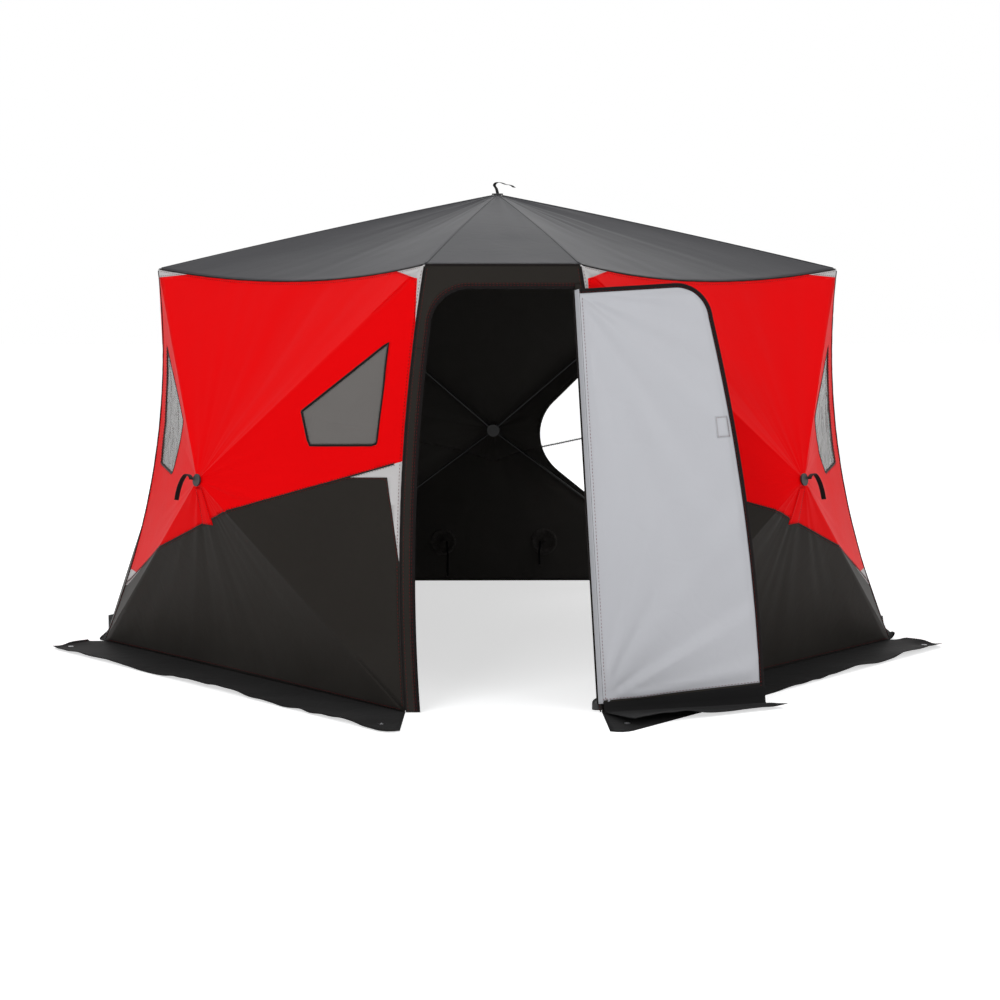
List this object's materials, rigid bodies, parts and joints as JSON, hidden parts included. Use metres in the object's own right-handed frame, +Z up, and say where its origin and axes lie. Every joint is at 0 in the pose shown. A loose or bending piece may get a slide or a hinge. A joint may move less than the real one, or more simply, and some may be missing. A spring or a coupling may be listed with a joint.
{
  "type": "ice fishing hut",
  "caption": "Pop-up fabric ice fishing hut: hub-framed walls and roof, clear side windows, a full-height zip door hinged open, a rear doorway and a ground skirt.",
  "frame": {"origin": "on the ground under the middle of the bounding box", "axes": "the door wall faces -Y, +Z is up, +X is to the right seen from the door side"},
  "size_m": [4.0246, 4.5806, 2.1081],
  "materials": {
    "red_fabric": "coated polyester, satin",
    "black_fabric": "coated polyester, satin",
    "roof_fabric": "coated polyester, satin",
    "grey_fabric": "coated polyester, satin",
    "lining_fabric": "silver-coated lining",
    "skirt_fabric": "plain woven polyester, matt",
    "window_vinyl": "clear flexible sheet",
    "piping": "woven tape over a cord",
    "webbing": "woven webbing",
    "zip_tape": "woven tape with coil teeth",
    "pole": "solid fibreglass rod, black",
    "hub_plastic": "moulded, black",
    "eyelet_metal": "plated"
  },
  "bodies": {
    "hut": {"front_left_upper": "red_fabric", "front_left_lower": "black_fabric", "front_left_windows": "window_vinyl", "front_right_upper": "red_fabric", "front_right_lower": "black_fabric", "front_right_windows": "window_vinyl", "back_left_upper": "red_fabric", "back_left_lower": "black_fabric", "back_left_windows": "window_vinyl", "back_right_upper": "red_fabric", "back_right_lower": "black_fabric", "back_right_windows": "window_vinyl", "back_upper": "red_fabric", "back_lower": "black_fabric", "corner_patches": "grey_fabric", "rear_door_zip": "zip_tape", "rear_door_roll": "black_fabric", "roof_front": "roof_fabric", "roof_front_left": "roof_fabric", "roof_front_right": "roof_fabric", "roof_back_left": "roof_fabric", "roof_back_right": "roof_fabric", "roof_back": "roof_fabric", "corner_seams": "piping", "eave_seams": "piping", "door_header": "black_fabric", "door_jamb_left": "black_fabric", "door_jamb_right": "black_fabric", "doorway_zip": "zip_tape", "front_left_skirt": "skirt_fabric", "front_right_skirt": "skirt_fabric", "back_left_skirt": "skirt_fabric", "back_right_skirt": "skirt_fabric", "back_skirt": "skirt_fabric", "skirt_eyelets": "eyelet_metal", "wall_poles": "pole", "roof_poles": "pole", "wall_hubs": "hub_plastic", "roof_hub": "hub_plastic", "corner_sockets": "hub_plastic", "feet": "hub_plastic", "hub_straps": "webbing", "hub_tabs": "red_fabric", "peak_strap": "webbing", "floor_vents": "black_fabric"},
    "door": {"door_flap": "lining_fabric", "door_zip": "zip_tape", "door_hinge_welt": "piping", "door_skirt": "skirt_fabric"}
  },
  "joints": [
    {"name": "door_hinge", "type": "hinge", "parent": "hut", "child": "door", "pos_m": [0.36042, -1.90283, 0.03187], "axis": [-0.0526, 0.1693, 0.9842], "range_deg": [-195, 0], "deforming": ["door_skirt"]}
  ]
}
